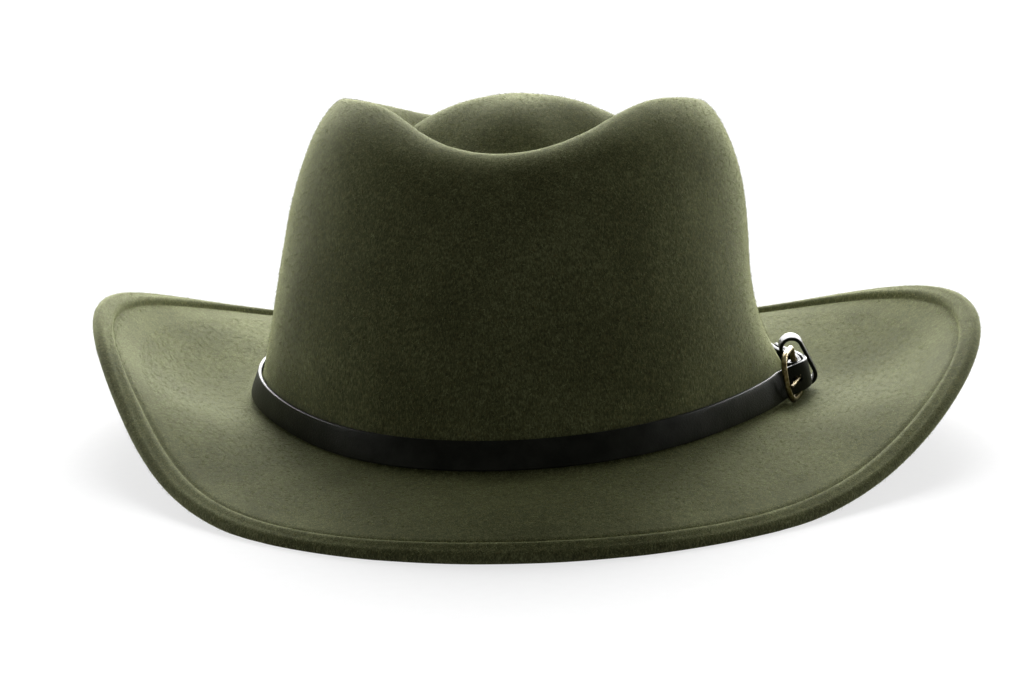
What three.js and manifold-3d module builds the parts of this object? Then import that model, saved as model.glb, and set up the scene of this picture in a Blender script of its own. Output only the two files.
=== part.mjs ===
// An outback hat: olive wool felt, a black leather strap round the crown, a brass buckle.
// Millimetres, +Z up. The front points to -Y, and the buckle sits on the +X side.
// Azimuth runs from the front (0) over the buckle's side (90) to the back (180).
// The origin lies under the middle of the brim, on the surface that the hat rests on.

import * as THREE from "three";
import { mergeVertices } from "three/addons/utils/BufferGeometryUtils.js";
import Module from "manifold-3d";

const radians = THREE.MathUtils.degToRad;
const mix = THREE.MathUtils.lerp;
const smoothstep = THREE.MathUtils.smoothstep;

// Felt
const FELT = 2.5;
const HEM_WIDTH = 7.7;
const HEM_THICKNESS = 4.8;
const HEM_RISE = 0.6;
const CREASE = { depth: 0.5, outward: 1.4, inward: 1.3, shoulder: 0.7 };
const RAW_EDGE_LIP = 0.2;
const PRESSED_FLAT = 1.2;
const DOME_HEIGHT = 116.5;

// Outer face of the felt: a row for each azimuth, 45 degrees apart.
// foot = where the crown meets the brim, edge = rim of the brim, curl = 0 straight to 1 curved up,
// low, middle and high = radius of the wall, crest = ridge round the top, valley = hollow inside it.
const COLUMNS = [
  "footR", "footZ", "edgeR", "edgeZ", "curl", "lowR", "middleR", "highR",
  "shoulderR", "crestR", "crestZ", "valleyR", "valleyZ",
];
const SECTIONS = {
  front: [108.6, 13.6, 173.0, 5.6, 1.3, 100.9, 93.1, 85.3, 76.4, 65.0, 107.9, 46.0, 98.6],
  frontRight: [90.1, 15.4, 152.5, 8.9, 0.2, 90.7, 81.6, 76.7, 68.3, 51.8, 118.9, 39.4, 100.6],
  right: [90.2, 14.7, 152.8, 39.3, 1.1, 77.4, 76.6, 73.0, 66.0, 59.3, 116.1, 45.9, 102.6],
  backRight: [96.7, 14.0, 156.0, 27.9, 0.5, 88.6, 89.1, 80.9, 74.9, 63.2, 107.5, 46.6, 94.0],
  back: [104.6, 10.4, 167.3, 6.4, 0.5, 101.7, 94.8, 90.4, 85.8, 76.2, 98.0, 51.0, 90.3],
  backLeft: [97.6, 13.8, 166.0, 26.3, 0.5, 88.4, 88.4, 80.3, 75.2, 67.0, 109.3, 46.4, 93.2],
  left: [89.3, 14.3, 143.2, 42.9, 1.3, 83.1, 78.8, 71.5, 64.0, 56.0, 118.0, 44.2, 101.4],
  frontLeft: [89.6, 12.5, 149.6, 10.6, 0.1, 92.8, 82.4, 76.9, 68.1, 51.0, 116.5, 39.4, 100.6],
};
const BRIM_STATIONS = [1, 0.85, 0.7, 0.5, 0.3, 0.15];
const WALL_LEVELS = { low: 0.3, middle: 0.58, high: 0.82 };
const FOOT_FILLET = { out: 2, outRise: 0.3, up: 3 };
const SHOULDER_DROP = 4;
const CREST_RISE = 1.5;
const DOME_RINGS = [
  { radius: 0.78, height: 0.45 },
  { radius: 0.48, height: 0.9 },
];
const DOME_TOP = { radius: 0.2, rise: 1 };
const RIDGE_TO_VALLEY = { inward: 0.45, down: 0.4 };

// Places along a section, counted in control rings from the edge (0) to the middle of the dome (18)
const FOOT_PLACE = 6.4;
const SHOULDER_PLACE = 10;
const NORMAL_STEP = 0.02;
const OUTER_ROWS = [
  1.6, 2.5, 3.4, 4.3, 5.0, 5.5, 5.9, 6.3, 6.7, 7.2, 7.9, 8.6, 9.3, 10.0, 10.6, 11.1,
  11.5, 11.8, 12.1, 12.4, 12.8, 13.3, 13.9, 14.5, 15.2, 16.0, 16.9,
];
const INNER_ROWS = [1.6, 3.0, 4.4, 5.4, 6.1, 6.8, 7.8, 9.3, 10.6, 11.5, 12.1, 12.9, 13.9, 14.9, 16.2];
const AZIMUTH_STEPS = 72;
const HEM_ARC_STEPS = 6;

// Strap and its keeper loop
const STRAP_WIDTH = 9.4;
const STRAP_THICKNESS = 1.3;
const STRAP_BEVEL = 0.25;
const STRAP_ABOVE_FOOT = 1.6;
const GAP = 0.3;
const STRAP_CLEARANCE = 0.45;
const STRAP_REST = STRAP_CLEARANCE + STRAP_THICKNESS / 2;
const KEEPER = {
  azimuth: 95.5, width: 7.5, thickness: 1.2, depth: 7.1, height: 17, topCorner: 3.5, lowCorner: 2.9,
  lift: 1.7, standoff: 0.7, lean: 3,
};

// Buckle
const WIRE_RADIUS = 0.8;
const LEAN = { angle: 15, startsAt: 79, fullFrom: 84, fullTo: 90, endsAt: 101 };
const REAR_BAR = { azimuth: 86, offset: 4.7 };
const BAR_CLEARANCE = 2 * GAP + (STRAP_WIDTH / 2) * Math.sin(radians(LEAN.angle));
const FRONT_BAR = { azimuth: 76.5, offset: STRAP_REST + STRAP_THICKNESS / 2 + BAR_CLEARANCE + WIRE_RADIUS };
const FRAME = { height: 15.6, rearCorner: 1.4, frontCorner: 6.6, lift: 1.6 };
const PRONG = { radius: 0.6, tipRadius: 0.42, overhang: 1.4, straightFrom: 4, straightTo: 8, droop: 0.2 };
const PRONG_EYE_RADIUS = WIRE_RADIUS + 1.5 * GAP + PRONG.radius;
const PRONG_OVER_BAR = WIRE_RADIUS + 1.8 * GAP + PRONG.radius;
const SLOT = { backCut: 1.5, underCut: 3.5, underLevel: 0.6, frontLevel: 0.8, frontMargin: 1, overCut: 0.2 };
const FOLD_CLEARANCE = 0.4;
const FOLD_RADIUS = WIRE_RADIUS + FOLD_CLEARANCE + STRAP_THICKNESS / 2;


// Value at any azimuth of a quantity given at eight, by its cosine and sine series
function around(values, azimuth) {
  const count = values.length;
  let sum = 0;
  values.forEach((value, index) => {
    const turn = radians(azimuth - (360 / count) * index);
    let weight = 1 + Math.cos((count / 2) * turn);
    for (let order = 1; order < count / 2; order += 1) weight += 2 * Math.cos(order * turn);
    sum += (value * weight) / count;
  });
  return sum;
}

function sectionAt(azimuth) {
  const rows = Object.values(SECTIONS);
  const entries = COLUMNS.map((name, column) => [name, around(rows.map((row) => row[column]), azimuth)]);
  return Object.fromEntries(entries);
}

// Control polygon of one section, from the brim's edge to the middle of the dome
function controlPolygon(azimuth) {
  const s = sectionAt(azimuth);
  const crownHeight = s.crestZ - s.footZ;
  const brim = BRIM_STATIONS.map((u) => [
    mix(s.footR, s.edgeR, u),
    mix(s.footZ, s.edgeZ, (1 - s.curl) * u + s.curl * u * u),
  ]);
  const foot = [
    [s.footR + FOOT_FILLET.out, s.footZ + FOOT_FILLET.outRise],
    [s.footR, s.footZ + FOOT_FILLET.up],
  ];
  const wall = [
    [s.lowR, s.footZ + WALL_LEVELS.low * crownHeight],
    [s.middleR, s.footZ + WALL_LEVELS.middle * crownHeight],
    [s.highR, s.footZ + WALL_LEVELS.high * crownHeight],
  ];
  const ridge = [
    [s.shoulderR, s.crestZ - SHOULDER_DROP],
    [s.crestR, s.crestZ + CREST_RISE],
    [mix(s.crestR, s.valleyR, RIDGE_TO_VALLEY.inward), mix(s.crestZ, s.valleyZ, RIDGE_TO_VALLEY.down)],
    [s.valleyR, s.valleyZ],
  ];
  const dome = DOME_RINGS.map((ring) => [
    s.valleyR * ring.radius,
    mix(s.valleyZ, DOME_HEIGHT, ring.height),
  ]);
  const top = [
    [s.valleyR * DOME_TOP.radius, DOME_HEIGHT + DOME_TOP.rise],
    [0, DOME_HEIGHT + DOME_TOP.rise],
  ];
  return [...brim, ...foot, ...wall, ...ridge, ...dome, ...top];
}

// Point of the uniform cubic B-spline over a control polygon, with its ends held
function splinePoint(polygon, place) {
  const last = polygon.length - 1;
  const control = (index) => {
    if (index < 0) return polygon[0].map((value, axis) => 2 * value - polygon[1][axis]);
    if (index > last) return polygon[last].map((value, axis) => 2 * value - polygon[last - 1][axis]);
    return polygon[index];
  };
  const start = Math.min(Math.floor(place), last - 1);
  const t = place - start;
  const weights = [
    (1 - t) ** 3 / 6,
    (3 * t ** 3 - 6 * t ** 2 + 4) / 6,
    (-3 * t ** 3 + 3 * t ** 2 + 3 * t + 1) / 6,
    t ** 3 / 6,
  ];
  return [0, 1].map((axis) =>
    weights.reduce((sum, weight, index) => sum + weight * control(start - 1 + index)[axis], 0),
  );
}

function toSpace([radius, height], azimuth) {
  const angle = radians(azimuth);
  return new THREE.Vector3(radius * Math.sin(angle), -radius * Math.cos(angle), height);
}

function surfacePoint(azimuth, place) {
  return toSpace(splinePoint(controlPolygon(azimuth), place), azimuth);
}

// Outward normal of the felt's outer face
function surfaceNormal(azimuth, place) {
  const next = surfacePoint(azimuth, place + NORMAL_STEP);
  const along = next.sub(surfacePoint(azimuth, Math.max(place - NORMAL_STEP, 0)));
  const sideways = surfacePoint(azimuth + 1, place).sub(surfacePoint(azimuth - 1, place));
  return sideways.cross(along).normalize();
}

// Closed shell of rings of equal length, with a single point at each end
function shellGeometry(rings, firstPole, lastPole) {
  const steps = rings[0].length;
  const points = [firstPole, ...rings.flat(), lastPole];
  const faces = [];
  const at = (ring, step) => 1 + ring * steps + (step % steps);
  for (let step = 0; step < steps; step += 1) {
    faces.push(0, at(0, step), at(0, step + 1));
    faces.push(points.length - 1, at(rings.length - 1, step + 1), at(rings.length - 1, step));
    for (let ring = 0; ring < rings.length - 1; ring += 1) {
      faces.push(at(ring, step), at(ring + 1, step), at(ring + 1, step + 1));
      faces.push(at(ring, step), at(ring + 1, step + 1), at(ring, step + 1));
    }
  }
  return geometryOf(points, faces);
}

// Solid through a row of equal sections, closed on itself or capped at both ends
function loftGeometry(sections, closed) {
  const sides = sections[0].length;
  const points = sections.flat();
  const faces = [];
  const at = (section, side) => (section % sections.length) * sides + (side % sides);
  const spans = closed ? sections.length : sections.length - 1;
  for (let span = 0; span < spans; span += 1) {
    for (let side = 0; side < sides; side += 1) {
      faces.push(at(span, side), at(span, side + 1), at(span + 1, side + 1));
      faces.push(at(span, side), at(span + 1, side + 1), at(span + 1, side));
    }
  }
  if (!closed) {
    for (let side = 1; side < sides - 1; side += 1) {
      faces.push(at(0, 0), at(0, side + 1), at(0, side));
      faces.push(at(spans, 0), at(spans, side), at(spans, side + 1));
    }
  }
  return geometryOf(points, faces);
}

function geometryOf(points, faces) {
  const geometry = new THREE.BufferGeometry().setFromPoints(points);
  geometry.setIndex(faces);
  return geometry;
}

// Felt: crown, brim and turned-under hem in one piece
function feltGeometry() {
  const azimuths = Array.from({ length: AZIMUTH_STEPS }, (_, index) => (index * 360) / AZIMUTH_STEPS);
  const ringOf = (pointAt) => azimuths.map(pointAt);
  const outer = (place) => ringOf((azimuth) => surfacePoint(azimuth, place));
  const inner = (place) =>
    ringOf((azimuth) => surfacePoint(azimuth, place).addScaledVector(surfaceNormal(azimuth, place), -FELT));

  // A place on the hem: distance in from the edge, and height over the felt's outer face
  const hem = (inward, rise) =>
    ringOf((azimuth) => {
      const edge = surfacePoint(azimuth, 0);
      const normal = surfaceNormal(azimuth, 0);
      const across = surfacePoint(azimuth, 0.5).sub(edge).normalize();
      return edge.addScaledVector(across, inward).addScaledVector(normal, rise);
    });
  const half = HEM_THICKNESS / 2;
  const roundEdge = Array.from({ length: HEM_ARC_STEPS + 1 }, (_, index) => {
    const angle = Math.PI / 2 - (Math.PI * index) / HEM_ARC_STEPS;
    return hem(half * (1 - Math.cos(angle)), HEM_RISE - half + half * Math.sin(angle));
  });
  const rings = [
    ...OUTER_ROWS.toReversed().map(outer),
    hem(HEM_WIDTH + CREASE.inward, 0),
    hem(HEM_WIDTH, -CREASE.depth),
    hem(HEM_WIDTH - CREASE.outward, HEM_RISE * CREASE.shoulder),
    ...roundEdge,
    hem(HEM_WIDTH, HEM_RISE - HEM_THICKNESS),
    hem(HEM_WIDTH + RAW_EDGE_LIP, -FELT),
    ...INNER_ROWS.map(inner),
  ];
  const lowest = Math.min(...rings.flat().map((point) => point.z));
  const drop = lowest + PRESSED_FLAT;
  rings.flat().forEach((point) => {
    point.z = Math.max(point.z - drop, 0);
  });
  const top = DOME_HEIGHT + DOME_TOP.rise - drop;
  const geometry = shellGeometry(rings, new THREE.Vector3(0, 0, top), new THREE.Vector3(0, 0, top - FELT));
  return { geometry, drop };
}

// Straight stretch of the wall behind the strap at one azimuth
function wallBehindStrap(azimuth) {
  const polygon = controlPolygon(azimuth);
  const { footZ } = sectionAt(azimuth);
  const atHeight = (height) => {
    let low = FOOT_PLACE;
    let high = SHOULDER_PLACE;
    while (high - low > 1e-6) {
      const middle = (low + high) / 2;
      if (splinePoint(polygon, middle)[1] < height) low = middle;
      else high = middle;
    }
    return toSpace(splinePoint(polygon, low), azimuth);
  };
  const lower = atHeight(footZ + STRAP_ABOVE_FOOT);
  const upper = atHeight(footZ + STRAP_ABOVE_FOOT + STRAP_WIDTH);
  return { middle: lower.clone().add(upper).multiplyScalar(0.5), up: upper.sub(lower).normalize() };
}

// Axes on the band at one azimuth: along the strap, out of the crown, and up the wall
function bandAxes(azimuth) {
  const { middle, up } = wallBehindStrap(azimuth);
  const along = wallBehindStrap(azimuth + 1).middle.sub(wallBehindStrap(azimuth - 1).middle).normalize();
  const out = along.clone().cross(up).normalize();
  return { middle, up, out, along: up.clone().cross(out) };
}

// The buckle's part of the band stands off the crown, and its top leans away from it
function leanAt(azimuth) {
  const rising = smoothstep(azimuth, LEAN.startsAt, LEAN.fullFrom);
  return LEAN.angle * rising * (1 - smoothstep(azimuth, LEAN.fullTo, LEAN.endsAt));
}

function leanedAxes(azimuth, lean = leanAt(azimuth)) {
  const { middle, up, out, along } = bandAxes(azimuth);
  up.applyAxisAngle(along, radians(lean));
  out.applyAxisAngle(along, radians(lean));
  return { middle, up, out, along };
}

function bandPoint(azimuth, offset, droop = 0) {
  const { middle, up, out } = bandAxes(azimuth);
  return middle.addScaledVector(out, offset).addScaledVector(up, -droop);
}

// Middle line of the leather: sewn end, fold round the rear bar, once round the crown,
// under the front bar, over the rear bar, through the keeper to the free end
function strapRoute() {
  const bar = leanedAxes(REAR_BAR.azimuth);
  const barCentre = bandPoint(REAR_BAR.azimuth, REAR_BAR.offset);
  const fold = [-80, -40, 0, 40, 80].map((angle) =>
    barCentre
      .clone()
      .addScaledVector(bar.along, -FOLD_RADIUS * Math.cos(radians(angle)))
      .addScaledVector(bar.out, FOLD_RADIUS * Math.sin(radians(angle))),
  );
  const sewnEnd = [[90.6, 2.4], [88.6, 2.6]];
  const ontoCrown = [[89.2, 5.7], [92.5, 4.8], [96.5, 3.8], [100, 2.8], [103.5, 1.7], [107, STRAP_REST]];
  const roundCrown = Array.from({ length: 33 }, (_, index) => [112 + index * 10, STRAP_REST]);
  const throughBuckle = [
    [437, STRAP_REST], [438.9, 1.5], [440.4, 3.4], [442, 5.9, 0.2], [444.1, 7.8, 0.6], [446.8, 8.2, 0.9],
    [449.5, 7.6, 1.1], [453, 6.45, 1], [457, 5.4, 0.9], [460.5, 4.5, 0.8], [464, 3.5, 0.7], [467, 2.9, 0.6],
    [472, 2.65, 0.5],
  ];
  const place = ([azimuth, offset, droop]) => bandPoint(azimuth, offset, droop);
  return [
    ...sewnEnd.map(place), ...fold, ...ontoCrown.map(place),
    ...roundCrown.map(place), ...throughBuckle.map(place),
  ];
}

function strapGeometry() {
  const points = strapRoute();
  const curve = new THREE.CatmullRomCurve3(points, false, "centripetal");
  const halfWidth = STRAP_WIDTH / 2;
  const halfThickness = STRAP_THICKNESS / 2;
  const outline = [
    [-halfWidth + STRAP_BEVEL, -halfThickness], [halfWidth - STRAP_BEVEL, -halfThickness],
    [halfWidth, -halfThickness + STRAP_BEVEL], [halfWidth, halfThickness - STRAP_BEVEL],
    [halfWidth - STRAP_BEVEL, halfThickness], [-halfWidth + STRAP_BEVEL, halfThickness],
    [-halfWidth, halfThickness - STRAP_BEVEL], [-halfWidth, -halfThickness + STRAP_BEVEL],
  ];
  const stations = 2 * (points.length - 1);
  const sections = [];
  for (let station = 0; station <= stations; station += 1) {
    const t = station / stations;
    const centre = curve.getPoint(t);
    const { up } = leanedAxes(THREE.MathUtils.radToDeg(Math.atan2(centre.x, -centre.y)));
    const tangent = curve.getTangent(t);
    const out = tangent.cross(up).normalize();
    sections.push(
      outline.map(([rise, depth]) => centre.clone().addScaledVector(up, rise).addScaledVector(out, depth)),
    );
  }
  return loftGeometry(sections, false);
}

// Axes of the buckle: from the rear bar to the front bar, up, and out of the crown
function buckleAxes() {
  const rear = bandPoint(REAR_BAR.azimuth, REAR_BAR.offset);
  const front = bandPoint(FRONT_BAR.azimuth, FRONT_BAR.offset);
  const { up } = leanedAxes(REAR_BAR.azimuth);
  const forward = front.sub(rear);
  forward.addScaledVector(up, -forward.dot(up));
  const length = forward.length();
  forward.normalize();
  return { rear, forward, up, out: up.clone().cross(forward), length };
}

function roundSection(centre, first, second, radius, sides) {
  return Array.from({ length: sides }, (_, index) => {
    const angle = (2 * Math.PI * index) / sides;
    return centre
      .clone()
      .addScaledVector(first, radius * Math.cos(angle))
      .addScaledVector(second, radius * Math.sin(angle));
  });
}

// Frame of round wire: straight rear bar, rounded corners, bowed front bar
function frameGeometry() {
  const { rear, forward, up, out, length } = buckleAxes();
  const { height, rearCorner, frontCorner, lift } = FRAME;
  const outline = new THREE.Path();
  outline.moveTo(0, -height / 2 + rearCorner);
  outline.absarc(rearCorner, height / 2 - rearCorner, rearCorner, Math.PI, Math.PI / 2, true);
  outline.absarc(length - frontCorner, height / 2 - frontCorner, frontCorner, Math.PI / 2, 0, true);
  outline.absarc(length - frontCorner, -height / 2 + frontCorner, frontCorner, 0, -Math.PI / 2, true);
  outline.absarc(rearCorner, -height / 2 + rearCorner, rearCorner, -Math.PI / 2, -Math.PI, true);
  const count = 44;
  const sections = outline.getSpacedPoints(count).slice(0, count).map((point, index) => {
    const direction = outline.getTangentAt((index + 0.001) / count);
    const centre = rear.clone().addScaledVector(forward, point.x).addScaledVector(up, point.y + lift);
    const side = forward.clone().multiplyScalar(-direction.y).addScaledVector(up, direction.x);
    return roundSection(centre, out, side, WIRE_RADIUS, 8);
  });
  return loftGeometry(sections, true);
}

// Prong: an eye round the rear bar, then a pin whose tip lies on the front bar
function prongPath() {
  const { length } = buckleAxes();
  const eye = [200, 240, 280, 320, 360, 400, 440].map((angle) => [
    -PRONG_EYE_RADIUS * Math.cos(radians(angle)),
    PRONG_EYE_RADIUS * Math.sin(radians(angle)),
  ]);
  const pin = [
    [PRONG.straightFrom, PRONG_OVER_BAR],
    [PRONG.straightTo, PRONG_OVER_BAR],
    [length, PRONG_OVER_BAR],
    [length + PRONG.overhang, PRONG_OVER_BAR - PRONG.droop],
  ];
  return [...eye, ...pin];
}

function prongGeometry() {
  const { rear, forward, up, out } = buckleAxes();
  const path = new THREE.SplineCurve(prongPath().map(([x, y]) => new THREE.Vector2(x, y)));
  const count = 24;
  const sections = Array.from({ length: count + 1 }, (_, index) => {
    const t = index / count;
    const point = path.getPoint(t);
    const direction = path.getTangent(t);
    const centre = rear.clone().addScaledVector(forward, point.x).addScaledVector(out, point.y);
    const side = forward.clone().multiplyScalar(-direction.y).addScaledVector(out, direction.x);
    const taper = mix(PRONG.radius, PRONG.tipRadius, Math.max(0, t - 0.7) / 0.3);
    return roundSection(centre, side, up, taper, 8);
  });
  return loftGeometry(sections, false);
}

// Slot through the strap that the prong passes with clearance
function prongSlotGeometry() {
  const { rear, forward, up, out, length } = buckleAxes();
  const clear = PRONG.radius + 1.8 * GAP;
  const reach = WIRE_RADIUS + 3 * GAP + 2 * PRONG.radius;
  const outline = new THREE.Shape();
  outline.absarc(0, 0, reach, Math.PI / 2, (3 * Math.PI) / 2, false);
  outline.lineTo(SLOT.backCut, -reach);
  outline.lineTo(SLOT.underCut, SLOT.underLevel);
  outline.lineTo(length - SLOT.frontMargin, SLOT.frontLevel);
  outline.lineTo(length - SLOT.frontMargin, reach + SLOT.overCut);
  outline.lineTo(0, reach);
  const slot = new THREE.ExtrudeGeometry(outline, { depth: 2 * clear, bevelEnabled: false, curveSegments: 8 });
  slot.translate(0, 0, -clear);
  const placed = new THREE.Matrix4().makeBasis(forward, out, forward.clone().cross(out)).setPosition(rear);
  return slot.applyMatrix4(placed);
}

// Loose keeper: a rounded loop round both layers of the strap, behind the buckle
function keeperGeometry() {
  const { azimuth, width, thickness, depth, height, topCorner, lowCorner, lift, standoff, lean } = KEEPER;
  const wall = bandAxes(azimuth);
  const { up, out, along } = leanedAxes(azimuth, lean);
  const base = wall.middle
    .addScaledVector(wall.out, standoff + thickness / 2)
    .addScaledVector(wall.up, lift - height / 2);
  const outline = new THREE.Path();
  outline.moveTo(0, -height / 2 + lowCorner);
  outline.absarc(topCorner, height / 2 - topCorner, topCorner, Math.PI, Math.PI / 2, true);
  outline.absarc(depth - topCorner, height / 2 - topCorner, topCorner, Math.PI / 2, 0, true);
  outline.absarc(depth - lowCorner, -height / 2 + lowCorner, lowCorner, 0, -Math.PI / 2, true);
  outline.absarc(lowCorner, -height / 2 + lowCorner, lowCorner, -Math.PI / 2, -Math.PI, true);
  const count = 36;
  const sections = outline.getSpacedPoints(count).slice(0, count).map((point, index) => {
    const direction = outline.getTangentAt((index + 0.001) / count);
    const centre = base.clone().addScaledVector(out, point.x).addScaledVector(up, point.y + height / 2);
    const side = out.clone().multiplyScalar(-direction.y).addScaledVector(up, direction.x);
    return [[-1, -1], [-1, 1], [1, 1], [1, -1]].map(([outward, sideways]) =>
      centre
        .clone()
        .addScaledVector(side, (outward * thickness) / 2)
        .addScaledVector(along, (sideways * width) / 2),
    );
  });
  return loftGeometry(sections, true);
}

const wasm = await Module();
wasm.setup();

function solidOf(geometry) {
  const bare = geometry.clone();
  bare.deleteAttribute("normal");
  bare.deleteAttribute("uv");
  const merged = mergeVertices(bare, 1e-4);
  return new wasm.Manifold(
    new wasm.Mesh({
      numProp: 3,
      vertProperties: new Float32Array(merged.attributes.position.array),
      triVerts: new Uint32Array(merged.index.array),
    }),
  );
}

function geometryOfSolid(solid) {
  const mesh = solid.getMesh();
  const geometry = new THREE.BufferGeometry();
  geometry.setAttribute("position", new THREE.BufferAttribute(mesh.vertProperties, 3));
  geometry.setIndex(Array.from(mesh.triVerts));
  return geometry;
}

function material(color, roughness, metalness) {
  return new THREE.MeshStandardMaterial({ color, roughness, metalness });
}

function named(name, geometry, surface) {
  const mesh = new THREE.Mesh(geometry, surface);
  mesh.name = name;
  return mesh;
}

const felt = feltGeometry();
const strap = solidOf(strapGeometry()).subtract(solidOf(prongSlotGeometry())).simplify(0.02);

const feltBody = named("felt_body", felt.geometry, material(0x33331f, 0.95, 0));
const trim = new THREE.Group();
trim.position.z = -felt.drop;
trim.add(
  named("band_strap", geometryOfSolid(strap), material(0x14140f, 0.38, 0)),
  named("keeper_loop", keeperGeometry(), material(0x14140f, 0.3, 0)),
  named("buckle_frame", frameGeometry(), material(0x6b5b3a, 0.35, 0.9)),
  named("buckle_prong", prongGeometry(), material(0xa39a80, 0.35, 0.9)),
);

felt.geometry.computeBoundingBox();
const middle = felt.geometry.boundingBox.getCenter(new THREE.Vector3());
const hat = new THREE.Group();
hat.position.set(-middle.x, -middle.y, 0);
hat.add(feltBody, trim);

export default hat;
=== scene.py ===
"""An outback hat of olive wool felt with a buckled leather strap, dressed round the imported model."""

import math

import bmesh
import bpy
import numpy as np
from mathutils import Matrix, Vector, noise


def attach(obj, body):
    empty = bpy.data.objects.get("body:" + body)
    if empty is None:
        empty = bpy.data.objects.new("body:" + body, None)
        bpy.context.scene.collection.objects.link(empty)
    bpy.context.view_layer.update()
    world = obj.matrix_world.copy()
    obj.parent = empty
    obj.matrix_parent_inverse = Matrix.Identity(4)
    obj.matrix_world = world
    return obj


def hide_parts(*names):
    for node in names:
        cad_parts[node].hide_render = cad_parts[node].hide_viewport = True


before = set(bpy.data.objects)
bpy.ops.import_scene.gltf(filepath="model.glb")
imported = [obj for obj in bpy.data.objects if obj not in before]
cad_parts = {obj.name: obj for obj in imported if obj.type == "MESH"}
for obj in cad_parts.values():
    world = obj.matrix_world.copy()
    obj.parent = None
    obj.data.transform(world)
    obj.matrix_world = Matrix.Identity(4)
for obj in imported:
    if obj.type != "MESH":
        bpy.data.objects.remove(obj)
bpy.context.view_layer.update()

# The hat's own measures, in millimetres, as in the solid model
MM = 0.001
FELT = 2.5
HEM_WIDTH = 7.7
HEM_THICKNESS = 4.8
HEM_RISE = 0.6
PRESSED_FLAT = 1.2
DOME_HEIGHT = 116.5

# A row for each azimuth, 45 degrees apart, from the front over the buckle's side
COLUMNS = (
    "foot_r", "foot_z", "edge_r", "edge_z", "curl", "low_r", "middle_r", "high_r",
    "shoulder_r", "crest_r", "crest_z", "valley_r", "valley_z",
)
SECTIONS = {
    "front": (108.6, 13.6, 173.0, 5.6, 1.3, 100.9, 93.1, 85.3, 76.4, 65.0, 107.9, 46.0, 98.6),
    "front_right": (90.1, 15.4, 152.5, 8.9, 0.2, 90.7, 81.6, 76.7, 68.3, 51.8, 118.9, 39.4, 100.6),
    "right": (90.2, 14.7, 152.8, 39.3, 1.1, 77.4, 76.6, 73.0, 66.0, 59.3, 116.1, 45.9, 102.6),
    "back_right": (96.7, 14.0, 156.0, 27.9, 0.5, 88.6, 89.1, 80.9, 74.9, 63.2, 107.5, 46.6, 94.0),
    "back": (104.6, 10.4, 167.3, 6.4, 0.5, 101.7, 94.8, 90.4, 85.8, 76.2, 98.0, 51.0, 90.3),
    "back_left": (97.6, 13.8, 166.0, 26.3, 0.5, 88.4, 88.4, 80.3, 75.2, 67.0, 109.3, 46.4, 93.2),
    "left": (89.3, 14.3, 143.2, 42.9, 1.3, 83.1, 78.8, 71.5, 64.0, 56.0, 118.0, 44.2, 101.4),
    "front_left": (89.6, 12.5, 149.6, 10.6, 0.1, 92.8, 82.4, 76.9, 68.1, 51.0, 116.5, 39.4, 100.6),
}
BRIM_STATIONS = (1, 0.85, 0.7, 0.5, 0.3, 0.15)
WALL_LEVELS = (("low_r", 0.3), ("middle_r", 0.58), ("high_r", 0.82))
FOOT_FILLET = {"out": 2, "out_rise": 0.3, "up": 3}
SHOULDER_DROP = 4
CREST_RISE = 1.5
RIDGE_TO_VALLEY = {"inward": 0.45, "down": 0.4}
DOME_RINGS = ((0.78, 0.45), (0.48, 0.9))
DOME_TOP = {"radius": 0.2, "rise": 1}
FOOT_PLACE = 6.4
SHOULDER_PLACE = 10
NORMAL_STEP = 0.02

# Rings of the felt's skin, as runs of places: the first, the last and the step between them
FELT_STEPS = 360
OUTSIDE_RINGS = ((17.7, 11.0, 0.12), (10.85, 2.0, 0.15), (1.8, 1.65, 0.15))
INSIDE_RINGS = ((1.7, 1.9, 0.2), (2.1, 17.4, 0.22))

# Small unevenness of the felt, and how far the raw edge under the hem wanders, ring by ring
UNEVENNESS = {"crown": 0.35, "brim": 0.2, "wide": 34, "narrow": 13, "narrow_share": 0.45}
RAW_EDGE = {"slow": 0.45, "slow_waves": 9, "fine": 0.25, "fine_waves": 60, "first_ring": 3}
RAW_EDGE_FOLLOWS = (0.3, 0.6, 1, 1, 1, 1, 0.7, 0.4)

STRAP = {"width": 9.4, "thickness": 1.3, "above_foot": 1.6, "clearance": 0.45, "corner": 0.42, "belly": 0.1}
STRAP_ENDS = {"tip": 4.2, "tip_edge": 0.6, "sewn": 0.7}
STRAP_REST = STRAP["clearance"] + STRAP["thickness"] / 2
GAP = 0.3
FOLD_GAP = 0.4
WIRE_RADIUS = 0.8
LEAN = {"angle": 15, "starts_at": 79, "full_from": 84, "full_to": 90, "ends_at": 101}
REAR_BAR = {"azimuth": 86, "offset": 4.7}
BAR_CLEARANCE = 2 * GAP + STRAP["width"] / 2 * math.sin(math.radians(LEAN["angle"]))
FRONT_BAR = {"azimuth": 76.5, "offset": STRAP_REST + STRAP["thickness"] / 2 + BAR_CLEARANCE + WIRE_RADIUS}
FRAME = {"height": 15.6, "rear_corner": 1.4, "front_corner": 6.6, "lift": 1.6, "wire": 0.95}
PRONG = {
    "radius": 0.6, "tip_radius": 0.52, "eye_gaps": 1.5, "over_gaps": 1.8, "eye_open": (5, 85),
    "rows": (0.9, 2.2, 4, 8), "taper_from": 8, "overhang": 1.4, "droop": 0.2,
}
SLOT = {
    "side_gaps": 1.8, "eye_gaps": 3, "back_cut": 1.5, "under_cut": 3.5, "under_level": 0.6,
    "front_level": 0.8, "front_margin": 1, "over_cut": 0.2,
}
FOLD_RADIUS = WIRE_RADIUS + FOLD_GAP + STRAP["thickness"] / 2
KEEPER = {
    "azimuth": 95.5, "width": 7.5, "thickness": 1.2, "depth": 7.1, "height": 17,
    "top_corner": 3.5, "low_corner": 2.9, "edge": 0.38, "lift": 1.7, "standoff": 0.7, "lean": 3,
}

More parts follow.
